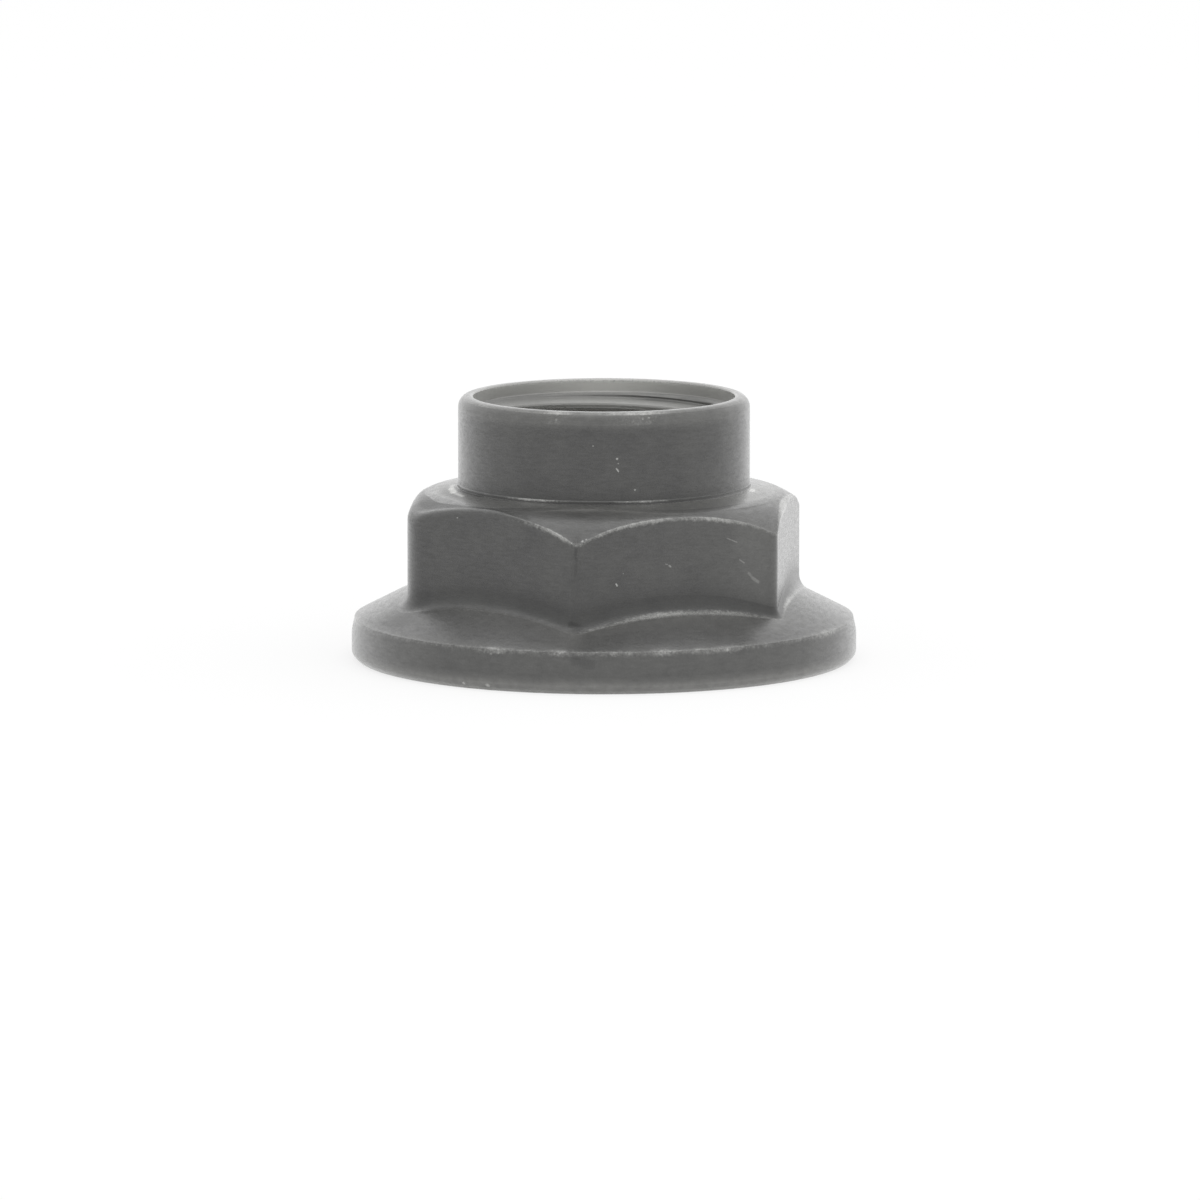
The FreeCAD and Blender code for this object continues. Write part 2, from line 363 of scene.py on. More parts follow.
class OuterSection:
    """The nut's outside as half sections, from the lead-in's edge round to the plain bore."""

    # Crown lift from which the crown runs straight from its edge to the crease, and its least fall.
    full_lift = 0.3
    least_fall = 0.02
    # The crease's largest rounding, what a millimetre of room allows, and the room kept beside the edge.
    crease_rounding = 4.0
    rounding_per_room = 10.0
    room_kept = 0.1
    edge_share = 0.85
    # Rounding at the ledge's foot, without a ledge and what a full ledge takes off.
    foot_rounding = 0.21
    ledge_takes = 0.16
    # How fast the painted glint on a lip and the painted fill light fade, and the painted shade and the
    # crown's bulge rise, along a stretch.
    glint_fade = 2.2
    fill_fade = 6.0
    painted_shade_rise = 1.8
    shade_rise = 2.5
    bulge_rise = 4.0
    # Depth of the stub that leads into the lead-in's edge, and painted shade at the plain bore's foot.
    lead_in_stub = 0.2
    foot_painted_shade = 0.6
    arc_wear = Edge(0.28, (-70, 9, 0.55), (-47, 10, 0.6), (-12, 13, 0.8), (-95.5, 4.5, 0.55), (-83, 6, 0.3),
                    (-132, 16, -0.26), (-103, 6, 0.3), (8, 9, 0.45), (72, 12, 0.5), (131, 8, 0.45),
                    (176, 7, 0.4))
    arc_softness = Edge(0.16, (-148, 16, 0.9), (-122, 11, 0.5), (-12, 13, 0.5), (95, 14, 0.3))
    flange_wear = Edge(0.4, (-108, 3.5, 0.28), (-92.8, 2, 0.2), (-81, 5, 0.15), (-69, 2.5, 0.25),
                       (-61, 4, 0.2), (-53.7, 3.5, 0.3), (-20, 6, 0.35), (24, 2.5, 0.6), (83, 7, 0.4),
                       (139, 2, 0.65), (-168, 5, 0.4))
    rim_wear = Edge(0.15, (-102, 5, 0.6), (-68, 9, 0.65), (-80, 5, 0.2), (-140, 9, 0.25), (15, 7, 0.5),
                    (70, 9, 0.4), (160, 8, 0.5))
    ledge_wear = Edge(0.0, (-111, 13, 1.0), (-67, 13, 0.75), (35, 15, 0.55), (150, 12, 0.6))
    # The root fillet's lip carries a painted glint, drawn as bare metal.
    root_glint = Edge(0.1, (-86, 4, 0.3), (-66, 15, 1.1), (-43, 10, 0.95), (-17, 9, 1.0), (-120, 14, 0.2),
                    (2, 14, 0.6), (64, 16, 0.4), (178, 15, 0.45))
    # The turned wall's tone, with painted reflection making it brighter towards the back and the front.
    bore_painted_shine = Edge(0.55, (97, 26, 0.4), (-83, 24, 0.3))
    ledge_share = Edge(1.0, (-22, 24, -0.7), (100, 30, -0.5))
    crown_lift = Edge(0.0, (-128, 16, 0.3), (-152, 12, 0.6))
    root_rounding = Edge(1.65, (-22, 16, -0.75))
    # Painted fill light lightening the crown's front and the slope below the hexagon's root.
    crown_fill = Edge(0.15, (-84, 24, 0.66), (-140, 22, -0.15))
    root_fill = Edge(0.2, (-84, 24, 0.32), (-122, 10, 0.2), (-50, 18, 0.55))
    crease_radius = Edge(15.1, (-88, 20, -1.2))
    # Painted shade darkening the crown and the flange's slope after their edges.
    crown_shade = Edge(0.0, (-148, 26, 1.0), (-46, 16, 0.35))
    flange_shade = Edge(0.0, (-146, 9, 0.7))
    # Painted fill light spreading over the flats and the crown from the crown's edge.
    face_fill = Edge(0.0, (-60, 26, 0.09), (-36, 8, 0.22), (-2, 26, 0.1), (120, 24, 0.06))
    crease_wear = Edge(0.0, (-30, 9, 0.35), (60, 10, 0.4))

    def __init__(self, sizes: NutSizes, hexagon: Hexagon) -> None:
        """Keep the sizes and the hexagon's outline."""
        self.sizes = sizes
        self.hexagon = hexagon

    def corners(self, angle: float) -> list[Corner]:
        """List the half section's corners in one direction.

        Args:
            angle: direction round the axis.

        Returns:
            The corners from the lead-in's edge outwards, up and in over the rim.
        """
        s = self.sizes
        side = self.hexagon.radius_at(angle)
        flange = s.flange_radius
        lower = s.flange_lower_bevel
        rim = s.rim_outer_bevel
        rim_wear = self.rim_wear.at(angle)
        softness = self.arc_softness.at(angle)
        shade = self.crown_shade.at(angle)
        crease = self.crease_radius.at(angle)
        crease_height = s.crown_height(crease)
        room = side - crease - self.edge_share * softness - self.room_kept
        crease_rounding = min(self.crease_rounding, self.rounding_per_room * room)
        ledge_share = self.ledge_share.at(angle)
        ledge = s.collar_radius + s.ledge * ledge_share
        ledge_top = s.collar_foot + s.ledge_height
        foot_rounding = self.foot_rounding - self.ledge_takes * ledge_share
        lift = self.crown_lift.at(angle)
        crown_edge = min(s.crown_height(side) + lift, crease_height - self.least_fall)
        chord = Vector((crease - side, crease_height - crown_edge)).normalized()
        straight = min(lift / self.full_lift, 1.0)
        crown_out = self.crown_direction(side).lerp(chord, straight).normalized()
        crown_end = self.crown_direction(crease).lerp(chord, straight).normalized()
        return [
            Corner(s.lead_in_radius, 0.0, 0.12, 3, 10, amount=0.5),
            # The flange's lower edge and side carry painted fill light that stands in for light from the
            # floor.
            Corner(flange - lower, 0.0, 0.3, 4, 3, amount=0.5, painted_fill=1.6, fill_reach=0.5),
            Corner(flange, lower, 0.6, 4, 5, amount=0.1, painted_fill=0.7, fill_reach=0.45),
            Corner(flange, s.flange_edge_height - s.flange_draft_height, 4.0, 4, 4,
                   painted_fill=0.14, fill_reach=3.0),
            Corner(flange - s.flange_draft_inset, s.flange_edge_height, 0.12, 4, 12,
                   amount=self.flange_wear.at(angle), spread=0.4, painted_fill=0.15, fill_reach=0.8,
                   shade=self.flange_shade.at(angle)),
            # The hexagon's root: painted shade in the fillet, a painted glint on its lip, painted fill
            # light on the slope below.
            Corner(side, s.cone_height(side), self.root_rounding.at(angle), 10, 12, Side.HOLLOW, 0.7,
                   lip_glint=self.root_glint.at(angle), painted_fill=self.root_fill.at(angle), fill_reach=1.6),
            Corner(side, crown_edge, softness, 5, 12, amount=self.arc_wear.at(angle), out=crown_out,
                   crown=True, painted_fill=self.face_fill.at(angle), fill_reach=20.0, shade=shade),
            Corner(crease, crease_height, crease_rounding, 5, 8, amount=self.crease_wear.at(angle),
                   into=crown_end, painted_fill=self.crown_fill.at(angle), fill_reach=1.1, shade=shade),
            # Painted shade in the hollows at the collar's foot, painted fill light on the land beyond.
            Corner(ledge, s.collar_foot, foot_rounding, 3, 3, Side.HOLLOW, ledge_share,
                   reach=0.2, painted_fill=1.0, fill_reach=4.0),
            Corner(ledge, ledge_top, 0.04, 3, 2, amount=self.ledge_wear.at(angle)),
            Corner(s.collar_radius, ledge_top + s.ledge, 0.05, 2, 12, Side.HOLLOW, 0.42 * ledge_share,
                   reach=0.7),
            # The rim carries painted fill light as well as wear.
            Corner(s.collar_radius, s.height - rim, 1.1, 5, 2,
                   amount=0.5 * rim_wear, painted_fill=0.3, fill_reach=0.3),
            Corner(s.collar_radius - rim, s.height, 0.7, 5, 2,
                   amount=rim_wear + 0.1, painted_fill=0.5, fill_reach=0.4),
            Corner(s.counterbore_radius, s.height, 0.16, 4, 4, amount=0.75, painted_fill=1.6, fill_reach=0.2,
                   bore=self.bore_painted_shine.at(angle)),
        ]

    def spots(self, angle: float) -> list[Spot]:
        """Walk along the half section in one direction.

        Args:
            angle: direction round the axis.

        Returns:
            The spots in order, as many in every direction.
        """
        s = self.sizes
        corners = self.corners(angle)
        stub = self.lead_in_stub
        start = Vector((s.lead_in_radius - stub, stub * math.tan(math.radians(s.lead_in_angle))))
        finish = Vector((s.counterbore_radius, s.counterbore_floor))
        places = [start, *(Vector((corner.radius, corner.height)) for corner in corners), finish]
        arcs = []
        for corner, before, place, after in zip(corners, places, places[1:], places[2:]):
            into = (place - before).normalized() if corner.into is None else corner.into
            out = (after - place).normalized() if corner.out is None else corner.out
            arcs.append(self.rounded(place, into, out, corner))
        spots: list[Spot] = []
        for corner, arc, following, coming in zip(corners, arcs, [*corners[1:], None], [*arcs[1:], None]):
            end = Vector((arc[-1].radius, arc[-1].height))
            target = Vector((coming[0].radius, coming[0].height)) if coming else finish
            spots += arc
            spots += self.run(end, target, corner, following)
        spots.append(Spot(finish.x, finish.y, 0.0, self.foot_painted_shade, 0.4 * corners[-1].bore))
        return spots

    def crown_direction(self, radius: float) -> Vector:
        """Unit vector in which the crown leads inwards and up at a radius."""
        step = 0.01
        rise = self.sizes.crown_height(radius - step) - self.sizes.crown_height(radius)
        return Vector((-step, rise)).normalized()

    def rounded(self, place: Vector, into: Vector, out: Vector, corner: Corner) -> list[Spot]:
        """Round one corner.

        Args:
            place: the sharp corner.
            into: direction of the run that arrives.
            out: direction of the run that leaves.
            corner: how it is rounded and worn.

        Returns:
            The spots over the rounding.
        """
        turn = into.angle(out)
        reach = corner.rounding * math.tan(turn / 2)
        centre = place + (out - into).normalized() * corner.rounding / math.cos(turn / 2)
        first = place - into * reach - centre
        last = place + out * reach - centre
        hollow = corner.side is Side.HOLLOW
        spots = []
        for step in range(corner.steps + 1):
            part = step / corner.steps
            spoke = first * math.sin((1 - part) * turn) + last * math.sin(part * turn)
            point = centre + spoke / math.sin(turn)
            # In a hollow corner the lip's wear is a painted glint and the amount paints shade; in a
            # standing corner the amount is wear.
            wear_and_glint = corner.lip_glint * max(0.0, 1 - self.glint_fade * part) if hollow else corner.amount
            painted_shade = corner.amount * min(1.0, self.painted_shade_rise * part) if hollow else 0.0
            painted_fill = corner.painted_fill * max(0.0, 1 - self.fill_fade * part) if hollow else corner.painted_fill
            spots.append(Spot(point.x, point.y, wear_and_glint, painted_shade, corner.bore * part, painted_fill))
        return spots

    def run(self, end: Vector, target: Vector, corner: Corner, following: Corner | None) -> list[Spot]:
        """Walk along the run between two roundings, with closer steps at its ends.

        Args:
            end: where the last rounding ended.
            target: where the next one begins.
            corner: the corner behind.
            following: the corner ahead, if there is one.

        Returns:
            The spots between the two, without either end.
        """
        spots = []
        length = (target - end).length
        for step in range(1, corner.run):
            part = (1 - math.cos(math.pi * step / corner.run)) / 2
            point = end.lerp(target, part)
            if corner.crown:
                bulge = self.sizes.crown_height(point.x) - point.y
                point.y += max(bulge, 0.0) * min(1.0, self.bulge_rise * part, self.bulge_rise * (1 - part))
            wear_and_glint = painted_fill = 0.0
            # Painted shade on the run after a standing corner, and from a hollow corner behind.
            painted_shade = corner.shade * min(1.0, self.shade_rise * part)
            for source, gone in ((corner, part * length), (following, (1 - part) * length)):
                if source is None:
                    continue
                if source.side is Side.CONVEX:
                    wear_and_glint = max(wear_and_glint, source.amount * math.exp(-((gone / source.spread) ** 2)))
                elif source is following:
                    wear_and_glint = max(wear_and_glint, source.lip_glint * math.exp(-((gone / source.spread) ** 2)))
                else:
                    painted_shade = max(painted_shade, source.amount * math.exp(-gone / source.reach))
                if source.side is Side.CONVEX or source is following:
                    painted_fill = max(painted_fill, source.painted_fill * math.exp(-gone / source.fill_reach))
            spots.append(Spot(point.x, point.y, wear_and_glint, painted_shade, 0.0 if following else corner.bore, painted_fill))
        return spots


class ThreadedBore:
    """The thread cut into the bore, as rows that follow its helix."""

    # Half a crest's width and the width of a flank, in pitches, and the turns before the first row.
    half_crest = 0.125
    flank = 0.3125
    turns_ahead = 1.5
    # Gaps in millimetres that keep the thread off both ends of the bore.
    lower_gap = 0.12
    upper_gap = 0.08
    # Places of the rows in one pitch, with the thread's crest about 0 and its root about 0.5.
    phases = (-0.125, 0.0, 0.125, 0.165, 0.28, 0.4, 0.4375, 0.5, 0.5625, 0.6, 0.72, 0.835)

    def __init__(self, sizes: NutSizes, start_angle: float) -> None:
        """Keep the sizes and where the thread's crest crosses the bearing face.

        Args:
            sizes: the nut's sizes.
            start_angle: direction of that crossing.
        """
        self.sizes = sizes
        self.start_angle = start_angle
        self.bottom = self.lower_gap
        self.top = sizes.counterbore_floor - self.upper_gap

    def turns(self) -> int:
        """Count the pitches that the rows span, with one to spare at each end."""
        return math.ceil((self.top - self.bottom) / self.sizes.thread_pitch) + 2

    def row_height(self, row: int, angle: float) -> float:
        """Height of a row in one direction, counted on from the first column."""
        turn, place = divmod(row, len(self.phases))
        travel = (angle - self.start_angle) / (2 * math.pi)
        turns = turn - self.turns_ahead + self.phases[place] + travel
        return self.bottom + self.sizes.thread_pitch * turns

    def radius_at(self, height: float, angle: float) -> float:
        """Distance from the axis to the bore's wall.

        Args:
            height: height above the bearing face.
            angle: direction round the axis.

        Returns:
            The radius after the lead-in and the counterbore's floor have been cut.
        """
        s = self.sizes
        travel = (angle - self.start_angle) / (2 * math.pi)
        phase = ((height - self.bottom) / s.thread_pitch + self.turns_ahead - travel) % 1.0
        off_crest = min(phase, 1.0 - phase)
        depth = min(max((off_crest - self.half_crest) / self.flank, 0.0), 1.0)
        thread = s.minor_radius + (s.major_radius - s.minor_radius) * depth
        lead_in = s.lead_in_radius - height / math.tan(math.radians(s.lead_in_angle))
        floor = s.counterbore_floor - height
        step = s.counterbore_radius - floor / math.tan(math.radians(s.counterbore_angle))
        return max(thread, lead_in, step)


class NutSurface:
    """The nut's whole skin as one closed mesh."""

    # Tone of the thread's top turn, how much brighter it gets in each millimetre down, and its limit; the
    # brightening is painted light that lifts the deeper turns out of their shade.
    thread_tone = 0.18
    thread_fade = 0.2
    thread_limit = 0.6
    # Unevenness of forged metal in millimetres, what full wear adds, and the waves in a millimetre.
    uneven = 0.012
    worn_uneven = 0.035
    waves = (0.55, 1.9)
    # How far a nick goes down for each millimetre that it goes in.
    nick_sink = 0.6
    # Wear on the thread's crests, how near the crest's radius that is, and painted shade at the roots.
    crest_wear = 0.1
    crest_margin = 0.02
    root_painted_shade = 0.3

    def __init__(self, sizes: NutSizes, nicks: tuple[Nick, ...]) -> None:
        """Set up the sections and the empty lists that the mesh grows in.

        Args:
            sizes: the nut's sizes.
            nicks: the small dents.
        """
        self.sizes = sizes
        self.nicks = nicks
        self.hexagon = Hexagon(sizes)
        self.angles = self.hexagon.columns()
        self.section = OuterSection(sizes, self.hexagon)
        self.thread = ThreadedBore(sizes, self.angles[0] + math.radians(THREAD_START))
        self.points: list[tuple[float, float, float]] = []
        self.marks: list[tuple[float, float, float, float]] = []
        self.faces: list[tuple[int, ...]] = []

    def add(self, angle: float, spot: Spot) -> int:
        """Add one vertex, uneven as forged metal is outside the bore.

        Args:
            angle: direction round the axis.
            spot: the spot's place and wear.

        Returns:
            The vertex's number.
        """
        place = Vector((spot.radius * math.cos(angle), spot.radius * math.sin(angle), spot.height))
        if spot.bore == 0.0:
            swell = sum(noise.noise(place * scale) * 0.5 for scale in self.waves)
            inward = max((self.uneven + self.worn_uneven * spot.wear_and_glint) * (0.5 + swell), 0.0)
            place.x -= inward * math.cos(angle)
            place.y -= inward * math.sin(angle)
        self.points.append(tuple(place * MM))
        self.marks.append((spot.wear_and_glint, spot.painted_shade, spot.bore, spot.painted_fill))
        return len(self.points) - 1

    def skin(self, lower: list[int], upper: list[int]) -> None:
        """Join two rings of vertices, leaving out the sides where they share a vertex.

        Args:
            lower: the first ring.
            upper: the second ring.
        """
        count = len(lower)
        for index in range(count):
            following = (index + 1) % count
            self.face(lower[index], lower[following], upper[following], upper[index])

    def face(self, *corners: int) -> None:
        """Add one face, as a triangle or not at all where corners fall together.

        Args:
            corners: the vertices in order.
        """
        kept = []
        for corner in corners:
            if corner not in kept:
                kept.append(corner)
        if len(kept) > 2:
            self.faces.append(tuple(kept))

    def outside(self) -> tuple[list[int], list[int]]:
        """Build everything but the thread.

        Returns:
            The first ring, at the lead-in, and the last, at the plain bore's foot.
        """
        sections = [self.section.spots(angle) for angle in self.angles]
        rings = []
        for row in range(len(sections[0])):
            rings.append([self.add(angle, spots[row]) for angle, spots in zip(self.angles, sections)])
        for lower, upper in zip(rings, rings[1:]):
            self.skin(lower, upper)
        return rings[0], rings[-1]

    def ring(self, height: float) -> list[int]:
        """Add a level ring of vertices inside the bore."""
        tone = self.tone_at(height)
        return [
            self.add(angle, Spot(self.thread.radius_at(height, angle), height, bore=tone))
            for angle in self.angles
        ]

    def tone_at(self, height: float) -> float:
        """How bright the thread's metal is at a height, brighter further down as painted light against the
        bore's shade.
        """
        return min(self.thread_tone + self.thread_fade * (self.thread.top - height), self.thread_limit)

    def bore(self, first: list[int], last: list[int]) -> None:
        """Cut the thread between the plain bore and the lead-in.

        Args:
            first: the outside's first ring, at the lead-in.
            last: the outside's last ring, at the plain bore's foot.
        """
        thread = self.thread
        bottom = self.ring(thread.bottom)
        top = self.ring(thread.top)
        per_turn = len(thread.phases)
        crest = self.sizes.minor_radius
        full_depth = self.sizes.major_radius - crest
        numbers: dict[tuple[int, int], int] = {}

        def number(row: int, column: int) -> int:
            """Number of the vertex in a row and column, made when it is first asked for."""
            if column == len(self.angles):
                return number(row + per_turn, 0)
            key = (row, column)
            if key not in numbers:
                angle = self.angles[column]
                height = thread.row_height(row, angle)
                if height <= thread.bottom:
                    numbers[key] = bottom[column]
                elif height >= thread.top:
                    numbers[key] = top[column]
                else:
                    radius = thread.radius_at(height, angle)
                    worn = self.crest_wear * (radius < crest + self.crest_margin)
                    painted_shade = self.root_painted_shade * ((radius - crest) / full_depth)
                    spot = Spot(radius, height, worn, painted_shade, self.tone_at(height))
                    numbers[key] = self.add(angle, spot)
            return numbers[key]

        for row in range(thread.turns() * per_turn):
            for column in range(len(self.angles)):
                places = ((row + 1, column), (row + 1, column + 1), (row, column + 1), (row, column))
                self.face(*(number(*place) for place in places))
        self.skin(bottom, first)
        self.skin(last, top)

    def dented(self) -> np.ndarray:
        """Press the nicks into the finished points.

        Returns:
            The points in metres, one row each.
        """
        points = np.array(self.points) / MM
        outside = np.array(self.marks)[:, 2] == 0.0
        radii = np.linalg.norm(points[:, :2], axis=1, keepdims=True)
        depth = sum(nick.depths(points) for nick in self.nicks) * outside
        points[:, :2] -= points[:, :2] / radii * depth[:, None]
        points[:, 2] = np.clip(points[:, 2] - self.nick_sink * depth, 0.0, self.sizes.height)
        return points * MM

    def build(self) -> bpy.types.Object:
        """Make the mesh object.

        Returns:
            The nut, smooth shaded with its face-weighted normals set.
        """
        self.bore(*self.outside())
        mesh = bpy.data.meshes.new(PIECE)
        mesh.from_pydata(self.dented().tolist(), [], self.faces)
        mesh.validate()
        for index, name in enumerate((WEAR_AND_GLINT, PAINTED_SHADE, BORE, PAINTED_FILL)):
            attribute = mesh.attributes.new(name, "FLOAT", "POINT")
            attribute.data.foreach_set("value", [marks[index] for marks in self.marks])
        self.shade(mesh)
        triangles = sum(len(polygon.vertices) - 2 for polygon in mesh.polygons)
        LOG.info("%s: %d vertices, %d triangles", PIECE, len(mesh.vertices), triangles)
        return put(PIECE, mesh)

    def shade(self, mesh: bpy.types.Mesh) -> None:
        """Shade the mesh smoothly with normals weighted by face area, so that flats stay flat.

        Args:
            mesh: the nut's mesh.
        """
        mesh.polygons.foreach_set("use_smooth", [True] * len(mesh.polygons))
        weights = np.zeros((len(mesh.vertices), 3))
        for polygon in mesh.polygons:
            weights[list(polygon.vertices)] += np.array(polygon.normal) * polygon.area
        lengths = np.linalg.norm(weights, axis=1, keepdims=True)
        normals = weights / np.maximum(lengths, 1e-20)
        mesh.normals_split_custom_set_from_vertices(normals.tolist())


class Tone(Enum):
    """What a mark shows: bare metal, a painted glint or a dark mark."""

    BARE = "bare"
    PAINTED_GLINT = "painted_glint"
    STAIN_AND_SHADE = "stain"


@dataclass(frozen=True)
class Mark:
    """A small mark in the finish: a scratch, or a speck where it has no length.

    Attributes:
        start: direction in degrees from +X, distance from the axis and height, in millimetres.
        end: the same at the other end.
        width: half the mark's width.
        strength: how strong it is, from 0 to 1.
        tone: whether it is bare metal, a painted glint or a dark mark, which is a stain in most places and
            painted shade at the collar's foot.
    """

    start: tuple[float, float, float]
    end: tuple[float, float, float]
    width: float
    strength: float = 1.0
    tone: Tone = Tone.BARE

    def ends(self) -> tuple[Vector, Vector]:
        """Places of both ends in millimetres."""
        return around_axis(*self.start), around_axis(*self.end)


class NodeSheet:
    """A node tree with short ways to add to it."""

    def __init__(self, owner: bpy.types.Material | bpy.types.World) -> None:
        """Empty the tree of a material or world."""
        owner.use_nodes = True
        self.tree = owner.node_tree
        self.tree.nodes.clear()

    def add(self, kind: str, inputs: dict | None = None, **settings) -> bpy.types.Node:
        """Add a node, set its properties and feed its inputs.

        Args:
            kind: the node's type.
            inputs: values or sockets by input name or number.
            settings: the node's own properties.

        Returns:
            The new node.
        """
        node = self.tree.nodes.new(kind)
        for name, value in settings.items():
            setattr(node, name, value)
        for name, value in (inputs or {}).items():
            socket = node.inputs[name]
            if isinstance(value, bpy.types.NodeSocket):
                self.tree.links.new(value, socket)
            else:
                socket.default_value = value
        return node

    def math(self, operation: str, first, second=0.0, third=0.0) -> bpy.types.NodeSocket:
        """Add a Math node that works on numbers and sockets."""
        node = self.add("ShaderNodeMath", {0: first, 1: second, 2: third}, operation=operation)
        return node.outputs[0]

    def vector(self, operation: str, first, second=(0.0, 0.0, 0.0)) -> bpy.types.NodeSocket:
        """Add a Vector Math node.

        Args:
            operation: what it works out.
            first: a vector or socket.
            second: a vector or socket, or the factor where the operation is SCALE.

        Returns:
            Its vector, or its value where the result is a number.
        """
        slot = "Scale" if operation == "SCALE" else 1
        node = self.add("ShaderNodeVectorMath", {0: first, slot: second}, operation=operation)
        return node.outputs["Value" if operation in ("DOT_PRODUCT", "LENGTH") else "Vector"]

    def swing(self, texture, amount: float, base) -> bpy.types.NodeSocket:
        """Let a texture from 0 to 1 move a base value up and down by half the amount."""
        return self.math("MULTIPLY_ADD", self.math("SUBTRACT", texture, 0.5), amount, base)

    def noise(self, place, scale: float, detail=3.0, roughness=0.55) -> bpy.types.NodeSocket:
        """Add a noise texture, with its features per millimetre and its finer layers."""
        inputs = {"Vector": place, "Scale": scale, "Detail": detail, "Roughness": roughness}
        return self.add("ShaderNodeTexNoise", inputs).outputs[0]

    def step(self, value, low: float, high: float) -> bpy.types.NodeSocket:
        """Turn a value into a soft step from 0 at low to 1 at high."""
        inputs = {"Value": value, "From Min": low, "From Max": high, "To Min": 0.0, "To Max": 1.0}
        return self.add("ShaderNodeMapRange", inputs, interpolation_type="SMOOTHSTEP").outputs[0]

    def blend(self, share, first, second) -> bpy.types.NodeSocket:
        """Mix two colours.

        Args:
            share: how much of the second.
            first: a colour or socket.
            second: a colour or socket.

        Returns:
            The mixed colour.
        """
        node = self.add("ShaderNodeMix", {0: share}, data_type="RGBA")
        for index, value in ((6, first), (7, second)):
            if isinstance(value, bpy.types.NodeSocket):
                self.tree.links.new(value, node.inputs[index])
            else:
                node.inputs[index].default_value = (*value, 1.0)
        return node.outputs[2]

    def attribute(self, name: str) -> bpy.types.NodeSocket:
        """Read one of the mesh's own values."""
        return self.add("ShaderNodeAttribute", attribute_name=name).outputs["Fac"]


def dimmed(tone: tuple[float, float, float], share: float) -> tuple[float, ...]:
    """Darken a tone to a share of itself."""
    return tuple(channel * share for channel in tone)


